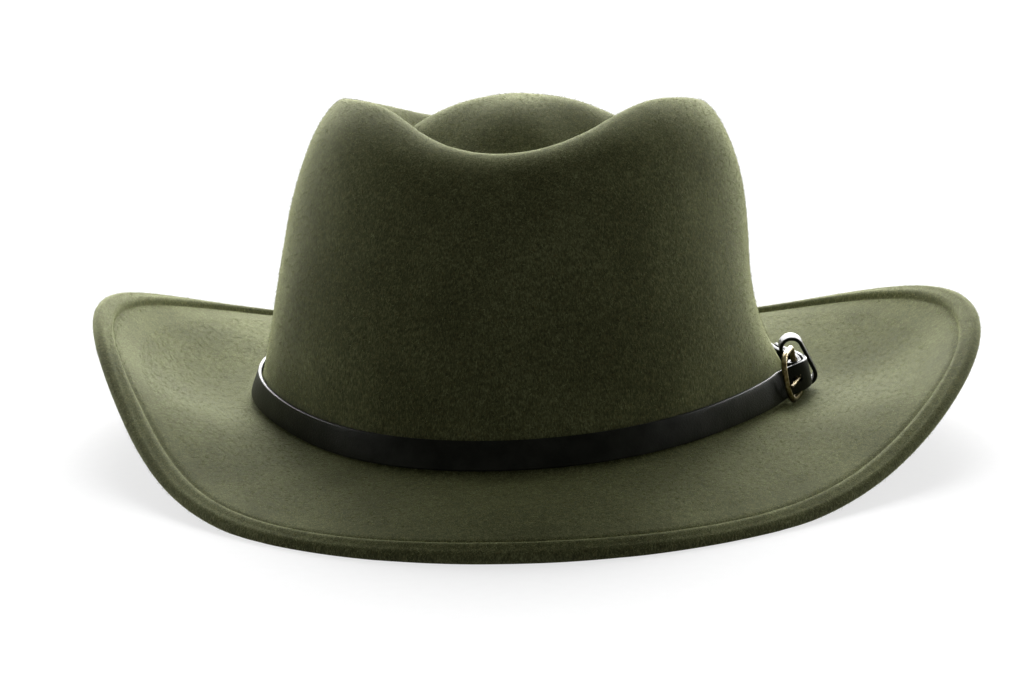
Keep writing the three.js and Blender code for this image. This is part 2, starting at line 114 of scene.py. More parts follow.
# Stray hairs that stand off the felt, and where the leather has worn them off
NAP_ROOT = 0.12
NAP = {
    "crown_nap": {"count": 42000, "seed": 3, "length": 1.9, "radius": 0.038, "lift": (0.1, 0.9), "comb": 0.7},
    "brim_nap": {"count": 42000, "seed": 5, "length": 1.5, "radius": 0.03, "lift": (0.02, 0.35), "comb": 0.5},
    "hem_nap": {"count": 16000, "seed": 7, "length": 1.7, "radius": 0.036, "lift": (0.1, 0.85), "comb": 0.4},
}
WORN_OFF = {"margin": 1.3, "reach": 4, "keeper_from": 90, "keeper_to": 101.5, "keeper_rise": 18}

# Where the picture was taken from, seen from the hat's own centre
CAMERA = {
    "azimuth": 2.39, "elevation": 11.42, "roll": -1.12, "distance": 1168.3,
    "target_right": -3.54, "target_up": 34.35, "lens": 121.86, "sensor": 36,
}

# Studio light, as strengths of white; a pair says from where to where along a direction it fades in
WALL_LIGHT = {"strength": 19.2, "spread": (0.09, 0.95), "foot": (-0.3, 0.1), "top": (0.5, 0.25)}
HIGH_LIGHT = {"strength": 33.0, "elevation": 32, "spread": (0.94, 0.985)}
FILL_LIGHT = {"front": 0.175, "above": 0.05}
FLOOR = {"albedo": 0.2, "glow": 0.7}


def unit(vectors):
    return vectors / np.linalg.norm(vectors, axis=-1, keepdims=True)


def between(first, second, share):
    return first + (second - first) * share


def smooth_step(value, low, high):
    share = np.clip((value - low) / (high - low), 0, 1)
    return share * share * (3 - 2 * share)


# The felt's outer face


def around(values, azimuth):
    """Rows given at eight azimuths, read at any azimuth by their cosine and sine series."""
    count = len(values)
    turn = np.radians(np.asarray(azimuth, float)[..., None] - 360 / count * np.arange(count))
    weight = 1 + np.cos(count / 2 * turn)
    for order in range(1, count // 2):
        weight = weight + 2 * np.cos(order * turn)
    return weight @ np.array(list(values), float) / count


def control_polygon(azimuth):
    """Control rings of the sections, from the brim's edge to the middle of the dome."""
    s = dict(zip(COLUMNS, np.moveaxis(around(SECTIONS.values(), azimuth), -1, 0)))
    height = s["crest_z"] - s["foot_z"]
    rings = [
        (
            between(s["foot_r"], s["edge_r"], u),
            between(s["foot_z"], s["edge_z"], (1 - s["curl"]) * u + s["curl"] * u * u),
        )
        for u in BRIM_STATIONS
    ]
    rings.append((s["foot_r"] + FOOT_FILLET["out"], s["foot_z"] + FOOT_FILLET["out_rise"]))
    rings.append((s["foot_r"], s["foot_z"] + FOOT_FILLET["up"]))
    rings += [(s[name], s["foot_z"] + level * height) for name, level in WALL_LEVELS]
    rings.append((s["shoulder_r"], s["crest_z"] - SHOULDER_DROP))
    rings.append((s["crest_r"], s["crest_z"] + CREST_RISE))
    rings.append(
        (
            between(s["crest_r"], s["valley_r"], RIDGE_TO_VALLEY["inward"]),
            between(s["crest_z"], s["valley_z"], RIDGE_TO_VALLEY["down"]),
        )
    )
    rings.append((s["valley_r"], s["valley_z"]))
    rings += [(s["valley_r"] * r, between(s["valley_z"], DOME_HEIGHT, z)) for r, z in DOME_RINGS]
    top = np.full_like(s["valley_r"], DOME_HEIGHT + DOME_TOP["rise"])
    rings += [(s["valley_r"] * DOME_TOP["radius"], top), (top * 0, top)]
    return np.stack([np.stack(ring, -1) for ring in rings], -2)


def spline_points(polygon, places):
    """Points of the cubic B-splines over the polygons, with their ends held: a row for each place."""
    places = np.atleast_1d(np.asarray(places, float))
    before = 2 * polygon[..., :1, :] - polygon[..., 1:2, :]
    after = 2 * polygon[..., -1:, :] - polygon[..., -2:-1, :]
    rings = np.moveaxis(np.concatenate([before, polygon, after], axis=-2), -2, 0)
    start = np.minimum(np.floor(places), polygon.shape[-2] - 2).astype(int)
    t = (places - start).reshape(-1, *[1] * (rings.ndim - 1))
    weights = (
        (1 - t) ** 3 / 6,
        (3 * t**3 - 6 * t**2 + 4) / 6,
        (-3 * t**3 + 3 * t**2 + 3 * t + 1) / 6,
        t**3 / 6,
    )
    return sum(weight * rings[start + index] for index, weight in enumerate(weights))


def to_space(section, azimuth):
    angle = np.radians(azimuth)
    radius = section[..., 0]
    return np.stack([radius * np.sin(angle), -radius * np.cos(angle), section[..., 1]], -1)


def surface(azimuth, places):
    return to_space(spline_points(control_polygon(azimuth), places), azimuth)


def surface_normal(azimuth, places):
    places = np.atleast_1d(np.asarray(places, float))
    along = surface(azimuth, places + NORMAL_STEP) - surface(azimuth, np.maximum(places - NORMAL_STEP, 0))
    sideways = surface(azimuth + 1, places) - surface(azimuth - 1, places)
    return unit(np.cross(sideways, along))


def hem_points(azimuth, profile):
    """Rings on the hem: each row of the profile is the distance in from the edge and the rise."""
    edge = surface(azimuth, 0)[0]
    normal = surface_normal(azimuth, 0)[0]
    across = unit(surface(azimuth, 0.5)[0] - edge)
    profile = np.asarray(profile, float)
    return edge + profile[:, :1, None] * across + profile[:, 1:2, None] * normal


def hem_arc(steps):
    """Round edge of the hem, from its top to its underside."""
    half = HEM_THICKNESS / 2
    angle = np.linspace(math.pi / 2, -math.pi / 2, steps + 1)
    return np.stack([half * (1 - np.cos(angle)), HEM_RISE - half + half * np.sin(angle)], -1)


# Where the solid model's own felt lies, which gives the drop to the floor and the centre
SOLID_AZIMUTHS = np.arange(0, 360, 5.0)
solid_hem = hem_points(SOLID_AZIMUTHS, hem_arc(6)).reshape(-1, 3)
solid_under = hem_points(SOLID_AZIMUTHS, [(HEM_WIDTH, HEM_RISE - HEM_THICKNESS)]).reshape(-1, 3)
solid_rim = np.concatenate([solid_hem, solid_under])
drop = solid_rim[:, 2].min() + PRESSED_FLAT
centre = (solid_rim.min(0) + solid_rim.max(0)) / 2
PLACED = Matrix.Scale(MM, 4) @ Matrix.Translation((-centre[0], -centre[1], -drop))


def place(points):
    """Millimetres round the crown's axis to metres in the row frame."""
    return (np.asarray(points, float) - (centre[0], centre[1], drop)) * MM


# Meshes


def deselect():
    if bpy.context.object is not None and bpy.context.object.mode != "OBJECT":
        bpy.ops.object.mode_set(mode="OBJECT")
    bpy.ops.object.select_all(action="DESELECT")


def pick(piece):
    deselect()
    piece.select_set(True)
    bpy.context.view_layer.objects.active = piece


def mesh_piece(name, points, faces):
    mesh = bpy.data.meshes.new(name)
    mesh.from_pydata([tuple(point) for point in np.asarray(points, float)], [], faces)
    mesh.update()
    piece = bpy.data.objects.new(name, mesh)
    bpy.context.scene.collection.objects.link(piece)
    return piece


def ring_faces(rings, steps):
    """Quads of a tube of rings that are closed round, wound so that they face out."""
    ring = np.arange(rings - 1)[:, None] * steps
    step = np.arange(steps)[None, :]
    after = (step + 1) % steps
    quads = np.stack([ring + step, ring + steps + step, ring + steps + after, ring + after], -1)
    return quads.reshape(-1, 4).tolist()


def add_modifier(piece, kind, **settings):
    modifier = piece.modifiers.new(kind.title(), kind)
    for name, value in settings.items():
        setattr(modifier, name, value)
    pick(piece)
    bpy.ops.object.modifier_apply(modifier=modifier.name)


def smooth(piece, degrees=180):
    pick(piece)
    if degrees >= 180:
        bpy.ops.object.shade_smooth()
    else:
        bpy.ops.object.shade_smooth_by_angle(angle=math.radians(degrees))


def settle(piece, matrix):
    """Puts a piece's place into its mesh, so that its object sits at the origin."""
    pick(piece)
    bpy.ops.object.transform_apply(location=True, rotation=True, scale=True)
    piece.data.transform(matrix)
    piece.data.update()


def clean(piece, distance):
    """Merges doubles and turns the faces outwards."""
    pick(piece)
    bpy.ops.object.mode_set(mode="EDIT")
    bpy.ops.mesh.select_all(action="SELECT")
    bpy.ops.mesh.remove_doubles(threshold=distance)
    bpy.ops.mesh.normals_make_consistent(inside=False)
    bpy.ops.object.mode_set(mode="OBJECT")


def select_vertices(piece, is_there):
    """Selects the vertices, in edit mode, whose places pass the test."""
    bpy.ops.mesh.select_mode(type="VERT")
    bpy.ops.mesh.select_all(action="DESELECT")
    editable = bmesh.from_edit_mesh(piece.data)
    for vertex in editable.verts:
        vertex.select_set(is_there(vertex.co))
    bmesh.update_edit_mesh(piece.data)


def dress(piece, finish, slot, *nodes):
    """Gives a finished piece its material and its body, and hides the solids that it stands for."""
    piece.data.materials.clear()
    piece.data.materials.append(finish)
    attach(piece, "root")
    if nodes:
        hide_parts(*nodes)


# Shader maths


class Value:
    """A node's socket that can be added to and multiplied by numbers and other sockets."""

    def __init__(self, graph, socket):
        self.graph = graph
        self.socket = socket

    def math(self, operation, other):
        return self.graph.node("ShaderNodeMath", {"operation": operation}, {0: self, 1: other})

    def __add__(self, other):
        return self.math("ADD", other)

    def __mul__(self, other):
        return self.math("MULTIPLY", other)

    __radd__ = __add__
    __rmul__ = __mul__


class Graph:
    """A node tree, with one method for all its nodes."""

    def __init__(self, tree):
        self.tree = tree

    def feed(self, node, sockets):
        for key, value in sockets.items():
            if isinstance(value, Value):
                self.tree.links.new(value.socket, node.inputs[key])
            else:
                node.inputs[key].default_value = value

    def node(self, kind, settings, sockets, output=0):
        made = self.tree.nodes.new(kind)
        for key, value in settings.items():
            if key == "stops":
                self.set_ramp(made.color_ramp, value)
            else:
                setattr(made, key, value)
        self.feed(made, sockets)
        return Value(self, made.outputs[output])

    @staticmethod
    def set_ramp(ramp, stops):
        while len(ramp.elements) < len(stops):
            ramp.elements.new(1)
        for element, (position, colour) in zip(ramp.elements, stops):
            element.position = position
            element.color = colour

    def coordinates(self):
        return self.node("ShaderNodeTexCoord", {}, {}, "Object")

    def noise(self, vector, size, detail=2.0, roughness=0.5, distortion=0.0):
        """Noise whose features are about size millimetres across."""
        sockets = {
            "Vector": vector,
            "Scale": 1 / (size * MM),
            "Detail": detail,
            "Roughness": roughness,
            "Distortion": distortion,
        }
        return self.node("ShaderNodeTexNoise", {}, sockets)

    def stretched(self, vector, scale):
        return self.node("ShaderNodeMapping", {}, {"Vector": vector, "Scale": scale})

    def ramp(self, factor, stops):
        return self.node("ShaderNodeValToRGB", {"stops": stops}, {"Fac": factor})

    def mix(self, factor, first, second):
        return self.node("ShaderNodeMix", {"data_type": "RGBA"}, {0: factor, 6: first, 7: second}, 2)

    def range(self, value, low, high):
        """Smooth step of the value from low to high."""
        sockets = {"Value": value, "From Min": low, "From Max": high}
        return self.node("ShaderNodeMapRange", {"interpolation_type": "SMOOTHSTEP"}, sockets)


class Finish(Graph):
    """A material."""

    def __init__(self, name, **constants):
        self.material = bpy.data.materials.new(name)
        self.material.use_nodes = True
        super().__init__(self.material.node_tree)
        self.shader = self.tree.nodes["Principled BSDF"]
        self.feed(self.shader, {key.replace("_", " "): value for key, value in constants.items()})

    def bump(self, height, depth, strength=1.0):
        """Bump whose full height is depth millimetres."""
        sockets = {"Height": height, "Distance": depth * MM, "Strength": strength}
        return self.node("ShaderNodeBump", {}, sockets)

    def give(self, **links):
        self.feed(self.shader, {key.replace("_", " "): value for key, value in links.items()})
        return self.material


def colour(red, green, blue):
    """Colour as seen on a screen, 0 to 255, as light."""
    parts = [part / 255 for part in (red, green, blue)]
    return (*[p / 12.92 if p <= 0.04045 else ((p + 0.055) / 1.055) ** 2.4 for p in parts], 1)


def wool_felt():
    felt = Finish(
        "olive_wool_felt",
        Roughness=0.95,
        Specular_IOR_Level=0.07,
        Sheen_Weight=0.23,
        Sheen_Roughness=0.22,
        Sheen_Tint=(0.82, 0.88, 0.36, 1),
    )
    at = felt.coordinates()
    cloud = felt.noise(at, 26, 2)
    mottle = felt.noise(at, 1.7, 3, 0.6, 0.6)
    hair = felt.noise(felt.stretched(at, (1.0, 1.0, 0.3)), 0.42, 3, 0.7, 0.3)
    fleck = felt.noise(at, 0.8, 1, 0.5, 2.0)
    tone = 0.25 * mottle + 0.6 * hair + 0.15 * cloud
    shade = felt.ramp(
        tone,
        [(0.36, colour(47, 48, 29)), (0.5, colour(78, 81, 51)), (0.64, colour(117, 121, 85))],
    )
    brown = felt.ramp(fleck, [(0.58, (0, 0, 0, 1)), (0.72, (1, 1, 1, 1))])
    shade = felt.mix(0.32 * brown, shade, colour(115, 100, 59))
    return felt.give(Base_Color=shade, Normal=felt.bump(hair, 0.12, 0.8))


def nap_hair_painted_glow():
    # The hairs are coloured much lighter than the felt: the flecked tone is their own, and the lift over it
    # is painted light standing in for light shining through the backlit fuzz.
    nap = Finish("felt_nap_painted_glow", Roughness=0.8, Specular_IOR_Level=0.08)
    fleck = nap.noise(nap.coordinates(), 0.9, 2, 0.6)
    tint = nap.ramp(
        fleck,
        [(0.35, colour(96, 95, 55)), (0.5, colour(140, 145, 95)), (0.66, colour(182, 188, 143))],
    )
    return nap.give(Base_Color=tint, Roughness=0.7 + 0.2 * fleck)


def black_leather():
    leather = Finish("black_leather", Specular_IOR_Level=0.036)
    at = leather.coordinates()
    cells = leather.node(
        "ShaderNodeTexVoronoi",
        {"feature": "SMOOTH_F1"},
        {"Vector": at, "Scale": 1 / (0.55 * MM), "Smoothness": 0.6},
        "Distance",
    )
    fine = leather.noise(at, 0.25, 2)
    rub = leather.noise(at, 9, 3, 0.6)
    tint = leather.ramp(rub, [(0.35, colour(27, 28, 23)), (0.7, colour(41, 42, 37))])
    roughness = 0.3 + 0.14 * rub + 0.06 * fine
    relief = 0.8 * cells + 0.2 * fine
    return leather.give(Base_Color=tint, Roughness=roughness, Normal=leather.bump(relief, 0.12, 0.8))


def aged_brass():
    brass = Finish("antique_brass", Metallic=1.0)
    at = brass.coordinates()
    patina = brass.noise(at, 1.6, 4, 0.6, 0.5)
    grain = brass.noise(at, 0.3, 2)
    tint = brass.ramp(
        patina,
        [(0.32, colour(62, 54, 32)), (0.5, colour(120, 106, 70)), (0.7, colour(176, 166, 132))],
    )
    relief = brass.bump(0.5 * patina + 0.5 * grain, 0.05, 0.5)
    return brass.give(Base_Color=tint, Roughness=0.3 + 0.3 * patina, Normal=relief)


# Felt


def hem_profile():
    """Rows of the hem: flat face, soft crease, padded fold, round edge, and the row where its underside
    with the raw edge starts."""
    top = [
        (10.4, 0.0), (9.6, -0.03), (9.0, -0.1), (8.5, -0.22), (8.1, -0.34), (7.75, -0.38), (7.45, -0.28),
        (7.1, 0.03), (6.7, 0.5), (6.2, 0.92), (5.6, 1.18), (4.9, 1.25), (4.2, 1.15), (3.3, 0.86),
    ]
    under = [
        (3.3, -4.24), (4.3, -4.27), (5.3, -4.27), (6.2, -4.24), (6.9, -4.18), (7.35, -4.05),
        (7.6, -3.85), (7.68, -3.5), (7.7, -3.1), (7.72, -2.75), (7.8, -2.6), (8.1, -2.52), (8.7, -2.5),
    ]
    arc = hem_arc(16)
    return np.concatenate([top, arc, under]), len(top) + len(arc)


def dense_places(first, last, step):
    return np.linspace(first, last, int(round(abs(last - first) / step)) + 1)


def felt_piece():
    """Crown, brim and hem in one skin, finer than the solid and with the felt's small unevenness."""
    steps = FELT_STEPS
    azimuth = np.arange(steps) * 360 / steps
    outer, inner = (
        np.concatenate([dense_places(*run) for run in runs]) for runs in (OUTSIDE_RINGS, INSIDE_RINGS)
    )
    profile, raw_from = hem_profile()
    outer_points = surface(azimuth, outer)
    outer_normals = surface_normal(azimuth, outer)
    inner_points = surface(azimuth, inner) - FELT * surface_normal(azimuth, inner)
    hem = hem_points(azimuth, profile)

    # The raw edge under the hem was cut by hand, so it wanders a little
    edge = surface(azimuth, 0)[0]
    across = unit(surface(azimuth, 0.5)[0] - edge)
    turns = [(math.sin(angle), math.cos(angle), 1) for angle in np.radians(azimuth)]
    slow, fine = (
        np.array([noise.noise(Vector(turn) * RAW_EDGE[waves]) for turn in turns])
        for waves in ("slow_waves", "fine_waves")
    )
    wander = RAW_EDGE["slow"] * slow + RAW_EDGE["fine"] * fine
    first_ring = raw_from + RAW_EDGE["first_ring"]
    reach = np.zeros(len(profile))
    reach[first_ring : first_ring + len(RAW_EDGE_FOLLOWS)] = RAW_EDGE_FOLLOWS
    hem = hem + reach[:, None, None] * wander[None, :, None] * across[None]

    # Hand-formed unevenness of the crown and the brim, along the face's own normal
    flat = [Vector(point) for point in outer_points.reshape(-1, 3)]
    wide, narrow = (
        np.array([noise.noise(point / UNEVENNESS[size]) for point in flat]) for size in ("wide", "narrow")
    )
    wave = wide + UNEVENNESS["narrow_share"] * narrow
    depth = between(UNEVENNESS["brim"], UNEVENNESS["crown"], smooth_step(outer, 5, 8))
    push = (depth * np.clip((outer - 1.6) / 1.2, 0, 1))[:, None] * wave.reshape(outer_points.shape[:2])
    outer_points = outer_points + outer_normals * push[..., None]

    rings = np.concatenate([outer_points, hem, inner_points])
    top = DOME_HEIGHT + DOME_TOP["rise"]
    poles = [(0, 0, top), (0, 0, top - FELT)]
    points = np.concatenate([rings.reshape(-1, 3), poles])
    points[:, 2] = np.maximum(points[:, 2], drop)
    count = len(rings) * steps
    faces = ring_faces(len(rings), steps)
    faces += [(count, step, (step + 1) % steps) for step in range(steps)]
    last = count - steps
    faces += [(count + 1, last + (step + 1) % steps, last + step) for step in range(steps)]
    piece = mesh_piece("felt_hat", place(points), faces)
    smooth(piece)
    crown_ends = int(np.sum(outer > FOOT_PLACE))
    brim_ends = len(outer_points)
    hem_ends = brim_ends + raw_from + 1
    return piece, rings[: crown_ends + 1], rings[crown_ends:brim_ends], rings[brim_ends:hem_ends]


def under_leather(points):
    """Tells which places on the crown's foot the strap or the keeper covers, where the nap is worn off."""
    turn = np.degrees(np.arctan2(points[:, 0], -points[:, 1])) % 360
    foot_radius, foot_height = around(SECTIONS.values(), turn)[:, :2].T
    rise = points[:, 2] - foot_height
    near = np.hypot(points[:, 0], points[:, 1]) < foot_radius + WORN_OFF["reach"]
    low = STRAP["above_foot"] - WORN_OFF["margin"]
    high = STRAP["above_foot"] + STRAP["width"] + WORN_OFF["margin"]
    at_keeper = (turn > WORN_OFF["keeper_from"]) & (turn < WORN_OFF["keeper_to"])
    high = np.where(at_keeper, WORN_OFF["keeper_rise"], high)
    return near & (rise > low) & (rise < high)


def nap_piece(name, rings):
    """Short stray hairs of the felt: each a thin closed spike, rooted just under the face."""
    nap = NAP[name]
    count = nap["count"]
    dice = np.random.default_rng(nap["seed"])
    after = np.roll(rings, -1, axis=1)
    corners = np.stack([rings[:-1], rings[1:], after[1:], after[:-1]], 2).reshape(-1, 4, 3)
    across = np.cross(corners[:, 2] - corners[:, 0], corners[:, 3] - corners[:, 1])
    area = np.linalg.norm(across, axis=1)
    picked = dice.choice(len(corners), count, p=area / area.sum())
    face, normal = corners[picked], unit(across[picked])
    first, second = dice.random((2, count, 1))
    root = between(between(face[:, 0], face[:, 1], first), between(face[:, 3], face[:, 2], first), second)
    down = unit(corners[picked][:, 1] - corners[picked][:, 0])
    lie = unit(unit(np.cross(normal, dice.normal(size=(count, 3)))) + nap["comb"] * down)
    lift = dice.uniform(*nap["lift"], (count, 1))
    grow = unit(lie + normal * lift)
    length = nap["length"] * dice.uniform(0.35, 1, (count, 1)) ** 1.5
    side = unit(np.cross(grow, normal))
    around_root = np.radians((0, 120, 240))
    ring = [math.cos(turn) * side + math.sin(turn) * np.cross(grow, side) for turn in around_root]
    low = root - grow * NAP_ROOT
    spikes = np.stack([low + nap["radius"] * way for way in ring] + [root + grow * length], 1)
    spikes = spikes[(spikes[..., 2].min(1) > drop) & ~under_leather(root)]
    count = len(spikes)
    start = 4 * np.arange(count)[:, None]
    faces = np.stack([start + corner for corner in ((0, 1, 3), (1, 2, 3), (2, 0, 3), (2, 1, 0))], 1)
    piece = mesh_piece(name, place(spikes.reshape(-1, 3)), faces.reshape(-1, 3).tolist())

    # One small cell of the OFBake chart for each hair, so that its faces never share a pixel
    rows = math.ceil(math.sqrt(count))
    cell = np.stack([np.arange(count) % rows, np.arange(count) // rows], 1)[:, None, None]
    spots = [[(x, y), (x + 0.4, y), (x + 0.2, y + 0.4)] for y in (0.1, 0.5) for x in (0.1, 0.5)]
    chart = piece.data.uv_layers.new(name="OFBake")
    chart.uv.foreach_set("vector", ((cell + np.array(spots)[None]) / rows).astype(np.float32).ravel())
    return piece


felt, crown_rings, brim_rings, hem_rings = felt_piece()
dress(felt, wool_felt(), "olive_felt", "felt_body")
nap_painted_glow_finish = nap_hair_painted_glow()
for nap_name, nap_rings in (("crown_nap", crown_rings), ("brim_nap", brim_rings), ("hem_nap", hem_rings)):
    dress(nap_piece(nap_name, nap_rings), nap_painted_glow_finish, "olive_felt")


# Strap


def wall_behind_strap(azimuth):
    """Middle and upward direction of the crown's wall behind the strap."""
    azimuth = np.atleast_1d(np.asarray(azimuth, float))
    places = np.linspace(FOOT_PLACE, SHOULDER_PLACE, 400)
    rows = np.moveaxis(spline_points(control_polygon(azimuth), places), 0, 1)
    foot = around(SECTIONS.values(), azimuth)[:, 1]
    ends = []
    for rise in (STRAP["above_foot"], STRAP["above_foot"] + STRAP["width"]):
        radius = [np.interp(height + rise, row[:, 1], row[:, 0]) for row, height in zip(rows, foot)]
        ends.append(to_space(np.stack([radius, foot + rise], -1), azimuth))
    lower, upper = ends
    return (lower + upper) / 2, unit(upper - lower)


def band_axes(azimuth):
    """Middle of the wall behind the strap, and the directions up, out and along it."""
    azimuth = np.atleast_1d(np.asarray(azimuth, float))
    middle, up = wall_behind_strap(azimuth)
    along = unit(wall_behind_strap(azimuth + 1)[0] - wall_behind_strap(azimuth - 1)[0])
    out = unit(np.cross(along, up))
    return middle, up, out, np.cross(up, out)


def lean_at(azimuth):
    """The buckle's part of the band stands off the crown, and its top leans away from it."""
    azimuth = np.atleast_1d(np.asarray(azimuth, float)) % 360
    rising = smooth_step(azimuth, LEAN["starts_at"], LEAN["full_from"])
    return LEAN["angle"] * rising * (1 - smooth_step(azimuth, LEAN["full_to"], LEAN["ends_at"]))


def leaned_axes(azimuth, lean=None):
    middle, up, out, along = band_axes(azimuth)
    angle = np.radians(lean_at(azimuth) if lean is None else np.atleast_1d(lean))[:, None]
    return middle, up * np.cos(angle) + out * np.sin(angle), out * np.cos(angle) - up * np.sin(angle), along


def band_points(rows):
    """Places on the band: each row is an azimuth, an offset from the wall and a droop."""
    azimuth, offset, droop = np.array([(*row, 0)[:3] for row in rows], float).T
    middle, up, out, _ = band_axes(azimuth)
    return middle + out * offset[:, None] - up * droop[:, None]


def buckle_axes():
    """Rear bar's middle, the directions forward, up and out, and the length to the front bar."""
    rear = band_points([(REAR_BAR["azimuth"], REAR_BAR["offset"])])[0]
    front = band_points([(FRONT_BAR["azimuth"], FRONT_BAR["offset"])])[0]
    up = leaned_axes(REAR_BAR["azimuth"])[1][0]
    forward = front - rear
    forward = forward - up * (forward @ up)
    length = float(np.linalg.norm(forward))
    forward = forward / length
    return rear, forward, up, np.cross(up, forward), length


def strap_route():
    """Middle line of the leather: sewn end, fold, once round the crown, through the buckle."""
    _, _, out, along = (part[0] for part in leaned_axes(REAR_BAR["azimuth"]))
    bar = band_points([(REAR_BAR["azimuth"], REAR_BAR["offset"])])[0]
    angles = np.radians([-80, -40, 0, 40, 80])[:, None]
    fold = bar - FOLD_RADIUS * np.cos(angles) * along + FOLD_RADIUS * np.sin(angles) * out
    sewn_end = [(90.6, 2.4), (88.6, 2.6)]
    onto_crown = [(89.2, 5.7), (92.5, 4.8), (96.5, 3.8), (100, 2.8), (103.5, 1.7), (107, STRAP_REST)]
    round_crown = [(112 + index * 10, STRAP_REST) for index in range(33)]
    through_buckle = [
        (437, STRAP_REST), (438.9, 1.5), (440.4, 3.4), (442, 5.9, 0.2), (444.1, 7.8, 0.6),
        (446.8, 8.2, 0.9), (449.5, 7.6, 1.1), (453, 6.45, 1), (457, 5.4, 0.9), (460.5, 4.5, 0.8),
        (464, 3.5, 0.7), (467, 2.9, 0.6), (472, 2.65, 0.5),
    ]
    parts = [band_points(sewn_end), fold]
    parts += [band_points(rows) for rows in (onto_crown, round_crown, through_buckle)]
    return np.concatenate(parts)


def catmull_rom(points, per_span):
    """Centripetal curve through the points, with its directions."""
    held = np.concatenate([[2 * points[0] - points[1]], points, [2 * points[-1] - points[-2]]])
    places, tangents = [], []
    spans = len(points) - 1
    for span in range(spans):
        x0, x1, x2, x3 = held[span : span + 4]
        d0, d1, d2 = (np.linalg.norm(b - a) ** 0.5 for a, b in ((x0, x1), (x1, x2), (x2, x3)))
        t1 = d1 * ((x1 - x0) / d0 - (x2 - x0) / (d0 + d1) + (x2 - x1) / d1)
        t2 = d1 * ((x2 - x1) / d1 - (x3 - x1) / (d1 + d2) + (x3 - x2) / d2)
        c2 = -3 * x1 + 3 * x2 - 2 * t1 - t2
        c3 = 2 * x1 - 2 * x2 + t1 + t2
        t = np.linspace(0, 1, per_span + 1)[: per_span + (span == spans - 1), None]
        places.append(x1 + t1 * t + c2 * t**2 + c3 * t**3)
        tangents.append(t1 + 2 * c2 * t + 3 * c3 * t**2)
    return np.concatenate(places), unit(np.concatenate(tangents))


def strap_profile():
    """Half-rounded leather edge: rows of height across the strap and depth through it."""
    half_width, half_depth, corner = STRAP["width"] / 2, STRAP["thickness"] / 2, STRAP["corner"]
    corners = [
        (half_width - corner, half_depth - corner, 0),
        (-half_width + corner, half_depth - corner, 90),
        (-half_width + corner, -half_depth + corner, 180),
        (half_width - corner, -half_depth + corner, 270),
    ]
    rows = []
    for rise, depth, start in corners:
        for angle in np.radians(start + np.linspace(0, 90, 5)):
            rows.append((rise + corner * math.cos(angle), depth + corner * math.sin(angle)))
        if start in (0, 180):
            sign, belly = (1, STRAP["belly"]) if start == 0 else (-1, 0)
            for share in (0.6, 0.2, -0.2, -0.6):
                rows.append((sign * share * half_width, sign * (half_depth + belly)))
    return np.array(rows)


def rounded_end(distance, reach, most):
    """Share of the full size at a distance from a round end; most below 1 keeps it off nothing."""
    return np.sqrt(1 - np.clip(1 - distance / reach, 0, most) ** 2)


def strap_piece():
    centres, tangents = catmull_rom(strap_route(), 8)
    azimuth = np.degrees(np.arctan2(centres[:, 0], -centres[:, 1]))
    up = leaned_axes(azimuth)[1]
    out = unit(np.cross(tangents, up))
    profile = strap_profile()
    travelled = np.concatenate([[0], np.cumsum(np.linalg.norm(np.diff(centres, axis=0), axis=1))])
    to_tip = travelled[-1] - travelled
    sewn = rounded_end(travelled, STRAP_ENDS["sewn"], 0.9)
    width = sewn * rounded_end(to_tip, STRAP_ENDS["tip"], 0.985)
    depth = sewn * rounded_end(to_tip, STRAP_ENDS["tip_edge"], 0.9)
    rings = (
        centres[:, None]
        + up[:, None] * (profile[None, :, :1] * width[:, None, None])
        + out[:, None] * (profile[None, :, 1:] * depth[:, None, None])
    )
    count = len(profile)
    faces = [face[::-1] for face in ring_faces(len(rings), count)]
    faces.append(tuple(range(count)))
    last = (len(rings) - 1) * count
    faces.append(tuple(last + step for step in reversed(range(count))))
    piece = mesh_piece("leather_strap", place(rings.reshape(-1, 3)), faces)
    clean(piece, 1e-6)
    return piece


def cut_prong_slot(strap):
    """Cuts the slot through the fold and the strap's end that the prong passes."""
    rear, forward, _, out, length = buckle_axes()
    clear = PRONG["radius"] + SLOT["side_gaps"] * GAP
    reach = WIRE_RADIUS + SLOT["eye_gaps"] * GAP + 2 * PRONG["radius"]
    turn = np.radians(np.linspace(90, 270, 17))
    outline = np.concatenate(
        [
            np.stack([reach * np.cos(turn), reach * np.sin(turn)], -1),
            [
                (SLOT["back_cut"], -reach),
                (SLOT["under_cut"], SLOT["under_level"]),
                (length - SLOT["front_margin"], SLOT["front_level"]),
                (length - SLOT["front_margin"], reach + SLOT["over_cut"]),
            ],
        ]
    )
    across = np.cross(forward, out)
    face = rear + outline[:, :1] * forward + outline[:, 1:] * out
    sides = np.concatenate([face - clear * across, face + clear * across])
    count = len(outline)
    faces = [(step, (step + 1) % count, (step + 1) % count + count, step + count) for step in range(count)]
    faces += [tuple(reversed(range(count))), tuple(range(count, 2 * count))]
    cutter = mesh_piece("slot_cutter", place(sides), faces)
    clean(cutter, 1e-7)
    add_modifier(strap, "BOOLEAN", operation="DIFFERENCE", solver="EXACT", object=cutter)
    bpy.data.objects.remove(cutter)


strap = strap_piece()
cut_prong_slot(strap)
smooth(strap, 40)
leather = black_leather()
dress(strap, leather, "black_leather", "band_strap")


# Keeper


def rounded_loop(name, width, height, corners):
    """Closed outline of edges: a plane without its face, each pair of corners rounded."""
    deselect()
    bpy.ops.mesh.primitive_plane_add(size=1, location=(width / 2, 0, 0))
    loop = bpy.context.object
    loop.name = name
    loop.scale = (width, height, 1)
    bpy.ops.object.transform_apply(location=True, rotation=True, scale=True)
    bpy.ops.object.mode_set(mode="EDIT")
    bpy.ops.mesh.select_all(action="SELECT")
    bpy.ops.mesh.delete(type="ONLY_FACE")
    for radius, segments, is_there in corners:
        select_vertices(loop, is_there)
        bpy.ops.mesh.bevel(offset=radius, segments=segments, affect="VERTICES", profile=0.5)
    bpy.ops.object.mode_set(mode="OBJECT")
    return loop


